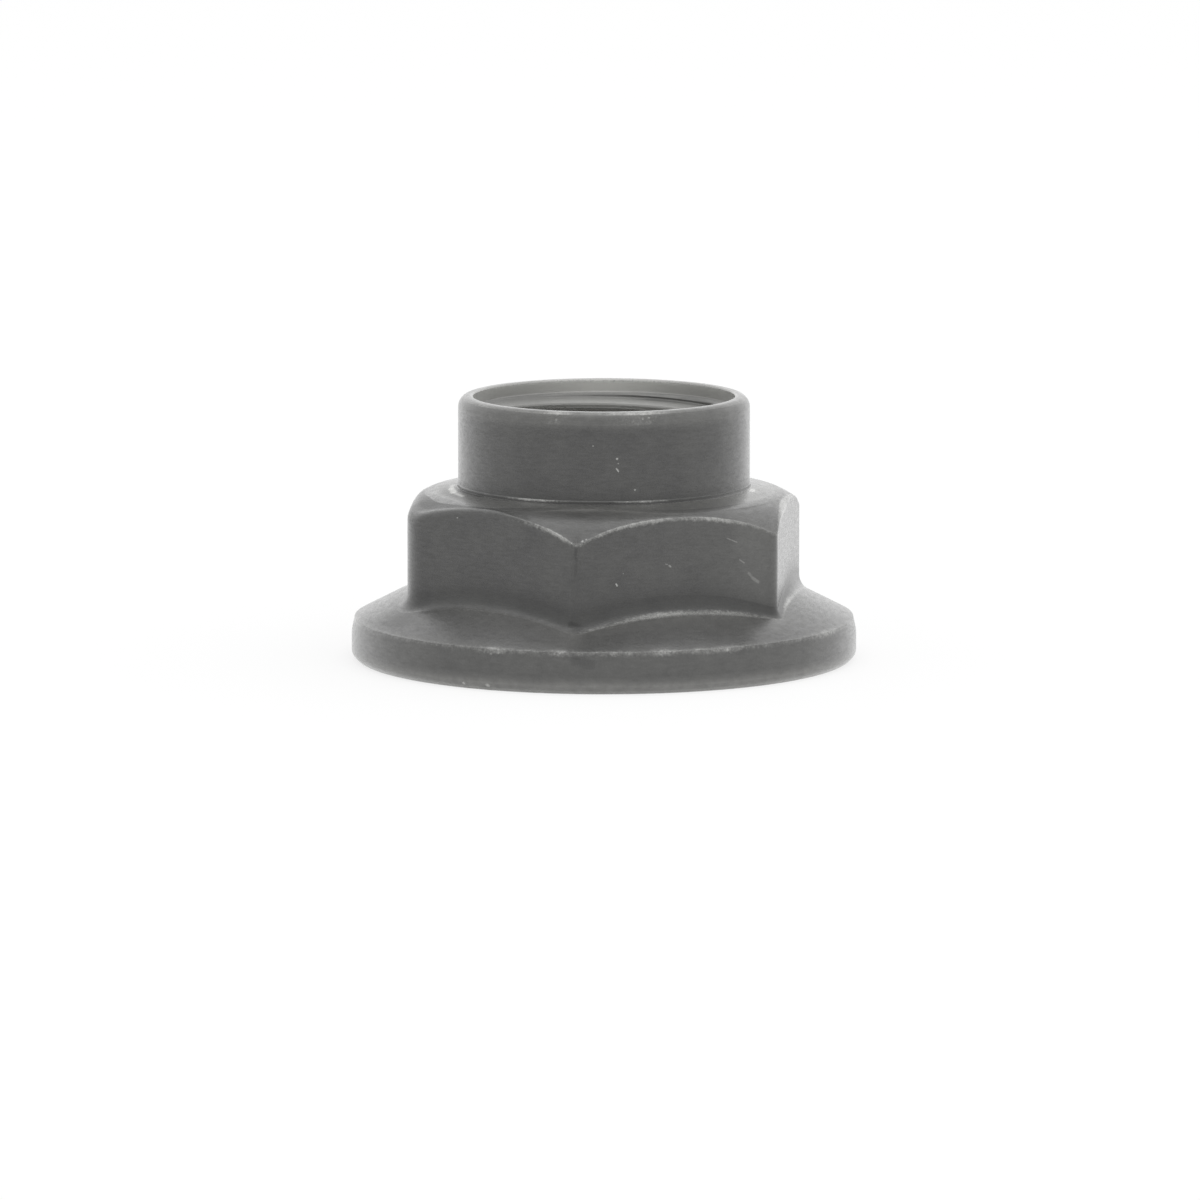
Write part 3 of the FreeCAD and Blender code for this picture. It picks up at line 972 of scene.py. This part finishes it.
@dataclass(frozen=True)
class PhosphatedSteel:
    """Dark satin phosphated steel: fine grain, faint streaks, edges worn to bright metal, with painted
    shade, painted fill light and painted glints mixed into its colour.

    Attributes:
        marks: scratches, specks, stains, painted glints and painted shade.
        dark: the darkest tone of the coating.
        light: its lightest tone.
        bare: the worn metal's tone.
        painted_glint: the near-white tone of a painted glint.
        bore_tone: the machined bore's tone.
        fill_tone: the pale tone that paints fill light.
        metallic: how metallic the coating is.
        worn_metallic: how metallic the worn edges are.
        roughness: the coating's roughness.
        sheen: how strongly the oily top layer shines at a flat angle.
        coat_roughness: how rough that layer is.
        coat_index: its refractive index.
        relief: depth of the grain in metres.
        drawn_scale: how many drawing lines a millimetre holds, on each axis.
    """

    marks: tuple[Mark, ...]
    dark: tuple[float, float, float] = (0.044, 0.044, 0.043)
    light: tuple[float, float, float] = (0.064, 0.064, 0.061)
    bare: tuple[float, float, float] = (0.38, 0.38, 0.368)
    painted_glint: tuple[float, float, float] = (0.80, 0.80, 0.77)
    bore_tone: tuple[float, float, float] = (0.72, 0.72, 0.69)
    fill_tone: tuple[float, float, float] = (0.200, 0.199, 0.190)
    metallic: float = 0.35
    worn_metallic: float = 0.6
    roughness: float = 0.32
    sheen: float = 1.0
    coat_roughness: float = 0.26
    coat_index: float = 1.43
    relief: float = 0.00006
    drawn_scale: tuple[float, float, float] = (1.1, 1.1, 5.0)

    def material(self) -> bpy.types.Material:
        """Build the node material.

        Returns:
            The finished material.
        """
        material = bpy.data.materials.new(SLOT)
        sheet = NodeSheet(material)
        position = sheet.add("ShaderNodeTexCoord").outputs["Object"]
        place = sheet.vector("SCALE", position, 1 / MM)
        grain = sheet.noise(place, 6.0, 4.0, 0.7)
        fine = sheet.noise(place, 14.0, 2.0, 0.5)
        lines = self.lines(sheet, place)
        drawn = sheet.noise(sheet.vector("MULTIPLY", place, self.drawn_scale), 1.0, 3.0, 0.6)

        worn = self.worn(sheet, place, grain, fine)
        coat = self.coat(sheet, place, grain, lines)
        # Painted fill light: a pale, patchy tone lightens the places that the lamps leave too dark.
        painted_fill = sheet.attribute(PAINTED_FILL)
        filled = sheet.math("MULTIPLY", sheet.math("ADD", sheet.noise(place, 1.3), 0.5), painted_fill)
        filled = sheet.math("MULTIPLY", sheet.swing(grain, 0.08, filled), sheet.step(painted_fill, 0.0, 0.1))
        coat = sheet.blend(filled, coat, self.fill_tone)
        # Painted shade: hollows and the runs after some edges are darkened in the colour.
        painted_shade_mask = sheet.attribute(PAINTED_SHADE)
        painted_shade = sheet.math("MULTIPLY", painted_shade_mask, 0.5)
        coat = sheet.blend(painted_shade, coat, dimmed(self.dark, 0.4))
        # Painted glints in a near-white tone, and dark marks: stains in most places, painted shade at the
        # collar's foot.
        tones = {Tone.PAINTED_GLINT: self.painted_glint, Tone.STAIN_AND_SHADE: dimmed(self.dark, 0.35)}
        for mark in self.marks:
            if mark.tone in tones:
                coat = sheet.blend(self.shape_of(sheet, mark, place, fine), coat, tones[mark.tone])
        bore = sheet.attribute(BORE)
        # The machined tone, darkened by painted shade at the thread's roots and the bore's foot.
        machined = sheet.blend(painted_shade, self.bore_tone, dimmed(self.bore_tone, 0.3))
        coat = sheet.blend(bore, coat, machined)
        colour = sheet.blend(worn, coat, self.bare)

        gloss = sheet.swing(grain, 0.2, self.roughness)
        gloss = sheet.math("MULTIPLY_ADD", worn, -0.08, gloss)
        metal = sheet.math("MAXIMUM", worn, sheet.math("MULTIPLY", bore, 0.8))
        metal = sheet.math("MULTIPLY_ADD", metal, self.worn_metallic - self.metallic, self.metallic)
        # Painted shade also dims the sheen and the metal in the same places.
        unshaded = sheet.math("MULTIPLY_ADD", painted_shade_mask, -0.8, 1.0)
        sheen = sheet.swing(drawn, 1.5, sheet.swing(grain, 1.2, 1.0))
        sheen = sheet.math("MULTIPLY", sheet.math("MULTIPLY", sheen, unshaded), self.sheen)
        metal = sheet.math("MULTIPLY", metal, sheet.math("MULTIPLY_ADD", painted_shade_mask, -0.5, 1.0))
        relief = sheet.math("ADD", sheet.math("MULTIPLY", grain, 0.6), sheet.math("MULTIPLY", fine, 0.3))
        relief = sheet.math("ADD", relief, sheet.math("MULTIPLY", lines, 0.5))
        relief = sheet.math("MULTIPLY_ADD", worn, -0.35, relief)
        relief = sheet.math("MULTIPLY_ADD", drawn, 0.9, relief)
        strength = sheet.math("MULTIPLY_ADD", bore, -0.3, 0.35)
        depths = {"Strength": strength, "Distance": self.relief, "Height": relief}
        bump = sheet.add("ShaderNodeBump", depths)
        shader = sheet.add(
            "ShaderNodeBsdfPrincipled",
            {
                "Base Color": colour,
                "Metallic": metal,
                "Roughness": gloss,
                "Coat Weight": sheen,
                "Coat Roughness": self.coat_roughness,
                "Coat IOR": self.coat_index,
                "Normal": bump.outputs[0],
            },
        )
        sheet.add("ShaderNodeOutputMaterial", {0: shader.outputs[0]})
        return material

    def lines(self, sheet: NodeSheet, place) -> bpy.types.NodeSocket:
        """Draw the fine handling lines that run across the metal at two slants.

        Args:
            sheet: the node tree.
            place: the place in millimetres.

        Returns:
            0 between the lines, up to 1 on them.
        """
        drawn = []
        for slant, scale in ((0.5, (0.25, 0.25, 7.0)), (-0.75, (0.3, 0.3, 5.0))):
            inputs = {"Vector": place, "Axis": (1.0, 1.0, 0.0), "Angle": slant}
            turned = sheet.add("ShaderNodeVectorRotate", inputs).outputs[0]
            scaled = sheet.vector("MULTIPLY", turned, scale)
            drawn.append(sheet.step(sheet.noise(scaled, 1.0, 3.0, 0.6), 0.62, 0.78))
        return sheet.math("MAXIMUM", *drawn)

    def coat(self, sheet: NodeSheet, place, grain, lines) -> bpy.types.NodeSocket:
        """Mix the coating's tone from blotches, upright streaks, grain and handling lines.

        Args:
            sheet: the node tree.
            place: the place in millimetres.
            grain: the coating's grain.
            lines: the handling lines.

        Returns:
            The coating's colour.
        """
        blotch = sheet.noise(place, 0.35, 4.0, 0.55)
        streak = sheet.noise(sheet.vector("MULTIPLY", place, (1.0, 1.0, 0.1)), 0.5, 2.0, 0.5)
        tone = sheet.math("MULTIPLY", grain, 0.22)
        tone = sheet.math("MULTIPLY_ADD", blotch, 0.53, tone)
        tone = sheet.math("MULTIPLY_ADD", streak, 0.25, tone)
        tone = sheet.math("MULTIPLY_ADD", lines, 0.12, tone)
        return sheet.blend(sheet.step(tone, 0.3, 0.72), self.dark, self.light)

    def worn(self, sheet: NodeSheet, place, grain, fine) -> bpy.types.NodeSocket:
        """Work out where bare metal shows, with the painted glint on the root fillet's lip drawn as bare
        metal too.

        Args:
            sheet: the node tree.
            place: the place in millimetres.
            grain: the coating's grain.
            fine: its finest grain.

        Returns:
            0 on the coating, 1 on bare metal.
        """
        edge = sheet.attribute(WEAR_AND_GLINT)
        patchy = sheet.noise(place, 2.4, 3.0, 0.65)
        ragged = sheet.swing(grain, 0.8, sheet.swing(patchy, 1.1, edge))
        worn = sheet.math("MULTIPLY", sheet.step(ragged, 0.15, 1.35), sheet.step(edge, 0.05, 0.5))
        for mark in self.marks:
            if mark.tone is Tone.BARE:
                worn = sheet.math("MAXIMUM", worn, self.shape_of(sheet, mark, place, fine))
        return worn

    def shape_of(self, sheet: NodeSheet, mark: Mark, place, fine) -> bpy.types.NodeSocket:
        """Draw one mark with a ragged edge.

        Args:
            sheet: the node tree.
            mark: the mark.
            place: the place in millimetres.
            fine: the coating's finest grain.

        Returns:
            How strong the mark is at the place.
        """
        start, end = mark.ends()
        away = sheet.vector("SUBTRACT", place, start)
        length = (end - start).length
        if length > 0:
            along = (end - start) / length
            travel = sheet.math("MAXIMUM", sheet.vector("DOT_PRODUCT", away, along), 0.0)
            foot = sheet.vector("SCALE", along, sheet.math("MINIMUM", travel, length))
            away = sheet.vector("SUBTRACT", away, foot)
        ragged = sheet.swing(fine, 1.6 * mark.width, sheet.vector("LENGTH", away))
        inside = sheet.math("SUBTRACT", 1.0, sheet.step(ragged, 0.4 * mark.width, 1.2 * mark.width))
        return sheet.math("MULTIPLY", inside, mark.strength)


@dataclass(frozen=True)
class Viewpoint:
    """Where the photograph was taken from.

    Attributes:
        distance: from the nut's foot to the camera in millimetres.
        elevation: how far the camera stands above the floor, in degrees.
        azimuth: how far it stands round from the front, in degrees.
        focal: focal length in pixels of the 1200 pixel frame.
        centre: pixel at which the nut's foot appears.
        frame: width of the frame in pixels.
        sensor: width of the camera's sensor in millimetres.
    """

    distance: float = 800.0
    elevation: float = 8.783
    azimuth: float = 7.22
    focal: float = 9272.5
    centre: tuple[float, float] = (603.996, 655.968)
    frame: int = 1200
    sensor: float = 36.0

    def place(self) -> bpy.types.Object:
        """Set up the camera.

        Returns:
            The scene's camera.
        """
        elevation = math.radians(self.elevation)
        around = math.radians(self.azimuth)
        level = self.distance * math.cos(elevation)
        pitch = elevation - math.atan((self.centre[1] - self.frame / 2) / self.focal)
        yaw = around + math.atan((self.centre[0] - self.frame / 2) / self.focal)
        lens = bpy.data.cameras.new("camera")
        lens.sensor_width = self.sensor
        lens.lens = self.focal * self.sensor / self.frame
        lens.clip_start = 0.01
        lens.clip_end = 20.0
        camera = put("camera", lens)
        height = self.distance * math.sin(elevation)
        camera.location = Vector((level * math.sin(around), -level * math.cos(around), height)) * MM
        camera.rotation_euler = Euler((math.pi / 2 - pitch, 0.0, yaw))
        bpy.context.scene.camera = camera
        return camera


@dataclass(frozen=True)
class Lamp:
    """A soft square lamp that faces the nut.

    Attributes:
        name: what it is called.
        azimuth: direction from the nut in degrees, 0 at the front and rising to the right.
        elevation: height in degrees.
        distance: distance in metres.
        size: width in metres.
        power: power in watts.
    """

    name: str
    azimuth: float
    elevation: float
    distance: float
    size: float
    power: float

    def place(self, middle: Vector) -> bpy.types.Object:
        """Hang the lamp.

        Args:
            middle: the point that it faces.

        Returns:
            The lamp.
        """
        around = math.radians(self.azimuth)
        up = math.radians(self.elevation)
        away = Vector((math.sin(around) * math.cos(up), -math.cos(around) * math.cos(up), math.sin(up)))
        data = bpy.data.lights.new(self.name, "AREA")
        data.energy = self.power
        data.size = self.size
        lamp = put(self.name, data)
        lamp.location = middle + away * self.distance
        lamp.rotation_euler = (-away).to_track_quat("-Z", "Y").to_euler()
        return lamp


@dataclass(frozen=True)
class Studio:
    """A pale floor, an even pale surround and soft lamps.

    Attributes:
        lamps: the lamps.
        surround: how bright the surround is near the floor, for the light that it gives.
        overhead: how bright it is overhead.
        right_bias: how much brighter it is on the right than in the middle.
        floor_tone: the floor's own colour.
        shadow_share: how much of the floor's own shading the camera sees.
        floor_size: width of the floor in metres.
        floor_gap: how far it lies under the bearing face, in metres.
    """

    lamps: tuple[Lamp, ...]
    surround: float = 0.84
    overhead: float = 1.0
    right_bias: float = 0.35
    floor_tone: float = 0.94
    shadow_share: float = 0.22
    floor_size: float = 8.0
    floor_gap: float = 0.00002

    def build(self, middle: Vector) -> None:
        """Make the floor, the surround and the lamps.

        Args:
            middle: the middle of the nut.
        """
        self.floor()
        self.world()
        for lamp in self.lamps:
            lamp.place(middle)

    def floor(self) -> bpy.types.Object:
        """Lay the floor just under the bearing face.

        Returns:
            The floor.
        """
        half = self.floor_size / 2
        mesh = bpy.data.meshes.new("floor")
        corners = [(x * half, y * half, -self.floor_gap) for x, y in ((-1, -1), (1, -1), (1, 1), (-1, 1))]
        mesh.from_pydata(corners, [], [(0, 1, 2, 3)])
        material = bpy.data.materials.new("pale_floor")
        sheet = NodeSheet(material)
        tone = (self.floor_tone,) * 3
        speckle = sheet.noise(sheet.add("ShaderNodeTexCoord").outputs["Object"], 60.0)
        colour = sheet.blend(sheet.math("MULTIPLY", speckle, 0.04), tone, (0.75, 0.75, 0.75))
        own = sheet.add("ShaderNodeBsdfDiffuse", {"Color": colour})
        white = sheet.add("ShaderNodeEmission", {"Color": WHITE, "Strength": 1.0})
        path = sheet.add("ShaderNodeLightPath")
        seen = sheet.math("MAXIMUM", path.outputs["Is Camera Ray"], path.outputs["Is Glossy Ray"])
        share = sheet.math("MULTIPLY", seen, 1.0 - self.shadow_share)
        mixed = sheet.add("ShaderNodeMixShader", {0: share, 1: own.outputs[0], 2: white.outputs[0]})
        sheet.add("ShaderNodeOutputMaterial", {0: mixed.outputs[0]})
        mesh.materials.append(material)
        return put("floor", mesh)

    def world(self) -> None:
        """Surround the scene with even pale light, white where the camera or a reflection sees it."""
        world = bpy.data.worlds.new("surround")
        bpy.context.scene.world = world
        sheet = NodeSheet(world)
        path = sheet.add("ShaderNodeLightPath")
        seen = sheet.math("MAXIMUM", path.outputs["Is Camera Ray"], path.outputs["Is Glossy Ray"])
        seen = sheet.math("MAXIMUM", seen, path.outputs["Is Transmission Ray"])
        direction = sheet.add("ShaderNodeTexCoord").outputs["Generated"]
        parts = sheet.add("ShaderNodeSeparateXYZ", {0: direction})
        rise = sheet.step(parts.outputs[2], -0.3, 0.9)
        given = sheet.math("MULTIPLY_ADD", rise, self.overhead - self.surround, self.surround)
        aside = sheet.math("MULTIPLY_ADD", parts.outputs[0], self.right_bias, 1.0)
        given = sheet.math("MULTIPLY", given, aside)
        kept = sheet.math("MULTIPLY", given, sheet.math("SUBTRACT", 1.0, seen))
        strength = sheet.math("ADD", kept, seen)
        background = sheet.add("ShaderNodeBackground", {"Color": WHITE, "Strength": strength})
        sheet.add("ShaderNodeOutputWorld", {0: background.outputs[0]})


# Dents: azimuth, radius and height of the middle, then width and depth.
NICKS = tuple(Nick(*row) for row in (
    (-108.0, 21.6, 3.45, 0.55, 0.13), (-92.8, 21.5, 3.55, 0.3, 0.08), (-69.0, 21.55, 3.5, 0.4, 0.1),
    (-53.7, 21.6, 3.45, 0.5, 0.1), (-115.9, 21.5, 0.35, 0.35, 0.1), (-109.7, 21.5, 0.35, 0.4, 0.12),
    (-132.4, 16.4, 13.6, 0.25, 0.04), (-90.3, 18.1, 12.45, 0.3, 0.15), (-90.2, 18.4, 5.4, 0.4, 0.12),
    (-101.7, 12.5, 22.15, 0.35, 0.06), (-67.4, 12.5, 22.2, 0.4, 0.06), (124.1, 11.4, 22.65, 0.3, 0.1),
    (24.0, 21.6, 3.5, 0.45, 0.1), (139.0, 21.6, 3.5, 0.4, 0.1),
))
# Specks of bare metal: azimuth, radius and height, then half the width and the strength.
SPECKS = (
    (-77.7, 12.54, 18.8, 0.11, 0.9), (-77.2, 12.54, 18.4, 0.07, 0.6), (-70.7, 12.54, 16.12, 0.1, 0.8),
    (-87.0, 12.54, 19.9, 0.08, 0.6), (-77.2, 16.7, 9.6, 0.07, 0.6), (-72.0, 16.25, 7.5, 0.08, 0.5),
    (-132.4, 16.3, 13.5, 0.1, 0.7), (-91.4, 18.1, 12.4, 0.12, 0.6), (-88.6, 17.95, 12.55, 0.13, 0.9),
    (-87.6, 17.8, 12.65, 0.1, 0.6), (-107.2, 21.55, 3.35, 0.16), (-109.0, 21.6, 3.2, 0.14, 0.8),
    (-92.8, 21.5, 3.5, 0.14), (-69.0, 21.5, 3.5, 0.16, 0.8), (-53.7, 21.5, 3.45, 0.18),
    (-115.9, 21.6, 0.5, 0.16), (-109.7, 21.6, 0.5, 0.2), (-67.4, 12.45, 22.2, 0.14, 0.8),
    (-64.9, 12.4, 22.25, 0.1, 0.7), (-101.7, 12.5, 22.1, 0.14, 0.8), (112.0, 12.54, 18.0, 0.12, 0.8),
    (41.0, 16.3, 9.0, 0.13, 0.8), (-179.0, 16.0, 8.0, 0.12, 0.7),
)
MARKS = (
    *(Mark(row[:3], row[:3], *row[3:]) for row in SPECKS),
    Mark((-77.9, 12.54, 17.95), (-77.2, 12.54, 17.75), 0.08, 0.9),
    Mark((-62.6, 16.02, 10.05), (-62.2, 16.02, 9.95), 0.09, 0.5),
    Mark((-63.9, 16.04, 10.2), (-63.2, 16.03, 10.15), 0.05, 0.35),
    Mark((-79.3, 16.95, 8.75), (-79.0, 16.93, 8.6), 0.08, 0.9),
    Mark((-37.6, 17.3, 9.0), (-36.4, 17.45, 8.55), 0.12, 0.22),
    Mark((-36.4, 17.45, 8.55), (-35.0, 17.65, 8.2), 0.16, 0.28),
    Mark((-40.2, 17.0, 10.2), (-38.9, 17.15, 9.9), 0.07, 0.3),
    # Scratches on the narrow face in the painted glint's near-white tone, so they also paint a highlight.
    Mark((-26.0, 17.4, 6.9), (-16.0, 16.3, 8.4), 0.12, 0.6, Tone.PAINTED_GLINT),
    Mark((-27.0, 17.6, 6.3), (-12.0, 16.2, 7.6), 0.16, 0.7, Tone.PAINTED_GLINT),
    Mark((-24.0, 17.2, 11.5), (-8.0, 16.1, 12.6), 0.1, 0.5, Tone.PAINTED_GLINT),
    Mark((-44.0, 16.6, 12.1), (-41.0, 16.9, 11.7), 0.06, 0.35),
    Mark((55.0, 16.1, 10.5), (62.0, 16.0, 9.2), 0.08, 0.45),
    Mark((150.0, 12.54, 20.0), (156.0, 12.54, 18.8), 0.06, 0.45),
    # Painted glints on the turned land beside the collar's foot.
    Mark((-146.0, 13.5, 14.78), (-157.0, 13.5, 14.78), 0.22, 0.45, Tone.PAINTED_GLINT),
    Mark((-156.0, 13.4, 14.78), (-166.0, 13.2, 14.8), 0.34, 0.7, Tone.PAINTED_GLINT),
    Mark((-164.0, 13.3, 14.78), (-175.0, 13.0, 14.8), 0.26, 0.6, Tone.PAINTED_GLINT),
    Mark((-8.0, 13.1, 14.8), (-3.0, 13.0, 14.8), 0.26, 0.7, Tone.PAINTED_GLINT),
    # Painted shade: a dark line in the recess at the collar's foot.
    Mark((-166.0, 12.7, 15.05), (-155.0, 12.85, 15.0), 0.35, 1.0, Tone.STAIN_AND_SHADE),
    Mark((-155.0, 12.85, 15.0), (-138.0, 12.7, 15.05), 0.3, 0.9, Tone.STAIN_AND_SHADE),
    Mark((-90.2, 18.3, 11.85), (-90.35, 18.3, 11.2), 0.17, 0.6, Tone.STAIN_AND_SHADE),
    Mark((-90.0, 18.3, 11.1), (-90.4, 18.3, 9.6), 0.15, 0.35, Tone.STAIN_AND_SHADE),
    Mark((-91.5, 18.4, 5.5), (-89.2, 18.5, 5.2), 0.35, 0.8, Tone.STAIN_AND_SHADE),
    Mark((-89.2, 21.7, 3.0), (-85.9, 21.7, 2.6), 0.55, 0.35, Tone.STAIN_AND_SHADE),
)


def main() -> None:
    """Build the nut and the studio."""
    logging.basicConfig(level=logging.INFO, format="%(message)s")
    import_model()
    bpy.context.scene.view_settings.view_transform = "Standard"

    sizes = NutSizes.from_frame()
    nut = NutSurface(sizes, NICKS).build()
    nut.data.materials.append(PhosphatedSteel(MARKS).material())
    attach(nut, "root")
    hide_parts(NODE)

    Viewpoint().place()
    lamps = (
        Lamp("overhead", 30.0, 95.0, 0.9, 0.9, 1.6),
    )
    Studio(lamps).build(Vector((0.0, 0.0, sizes.height / 2 * MM)))


if __name__ == "__main__":
    main()
